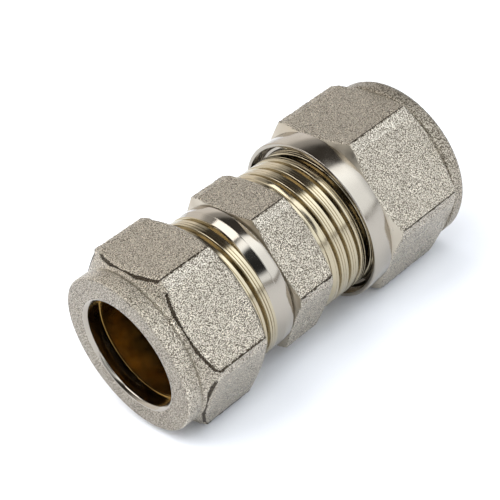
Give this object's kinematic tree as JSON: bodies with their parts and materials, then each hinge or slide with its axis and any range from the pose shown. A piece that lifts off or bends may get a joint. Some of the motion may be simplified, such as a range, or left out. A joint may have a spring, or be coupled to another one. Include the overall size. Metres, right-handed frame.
{
  "type": "compression coupling",
  "caption": "Straight nickel-plated brass compression coupling joining a copper tube to a multilayer plastic pipe, with hexagon nuts, an olive, a split ring and a sealed stem.",
  "frame": {"origin": "centre of the bounding box, on the common axis, midway between the two end faces", "axes": "+X along the axis from the copper side to the plastic pipe side, +Z normal to one flat of each hexagon, +Y completes the right-handed frame"},
  "size_m": [0.0504, 0.0268, 0.024],
  "materials": {
    "nickel_body": "nickel plated, shot-blasted forging with turned threads",
    "nickel_nut": "nickel plated, shot-blasted forging with turned ends",
    "raw_brass": "turned, unplated",
    "white_plastic": "moulded, satin",
    "black_rubber": "moulded, satin"
  },
  "bodies": {
    "fitting_body": {"fitting_body": "nickel_body"},
    "olive": {"olive": "raw_brass"},
    "copper_nut": {"copper_nut": "nickel_nut"},
    "insert": {"pipe_insert": "raw_brass", "insulating_washer": "white_plastic", "stem_o_ring_front": "black_rubber", "stem_o_ring_rear": "black_rubber", "seat_o_ring": "black_rubber"},
    "split_ring": {"split_ring": "raw_brass"},
    "pex_nut": {"pex_nut": "nickel_nut"}
  },
  "joints": [
    {"name": "olive_slide", "type": "slide", "parent": "fitting_body", "child": "olive", "axis": [-1, 0, 0], "range_m": [0, 0.00599]},
    {"name": "copper_nut_turn", "type": "hinge", "parent": "olive", "child": "copper_nut", "pos_m": [-0.0175, 0, 0], "axis": [-1, 0, 0], "range_deg": [0, 1188]},
    {"name": "insert_slide", "type": "slide", "parent": "fitting_body", "child": "insert", "axis": [1, 0, 0], "range_m": [0, 0.00417]},
    {"name": "ring_slide", "type": "slide", "parent": "fitting_body", "child": "split_ring", "axis": [1, 0, 0], "range_m": [0, 0.00417]},
    {"name": "pex_nut_turn", "type": "hinge", "parent": "split_ring", "child": "pex_nut", "pos_m": [0.0165, 0, 0], "axis": [1, 0, 0], "range_deg": [0, 828]}
  ],
  "couplings": [
    {"joint": "olive_slide", "follows": "copper_nut_turn", "m_per_rad": 0.00028871},
    {"joint": "ring_slide", "follows": "pex_nut_turn", "m_per_rad": 0.00028871},
    {"joint": "insert_slide", "follows": "pex_nut_turn", "m_per_rad": 0.00028871}
  ]
}
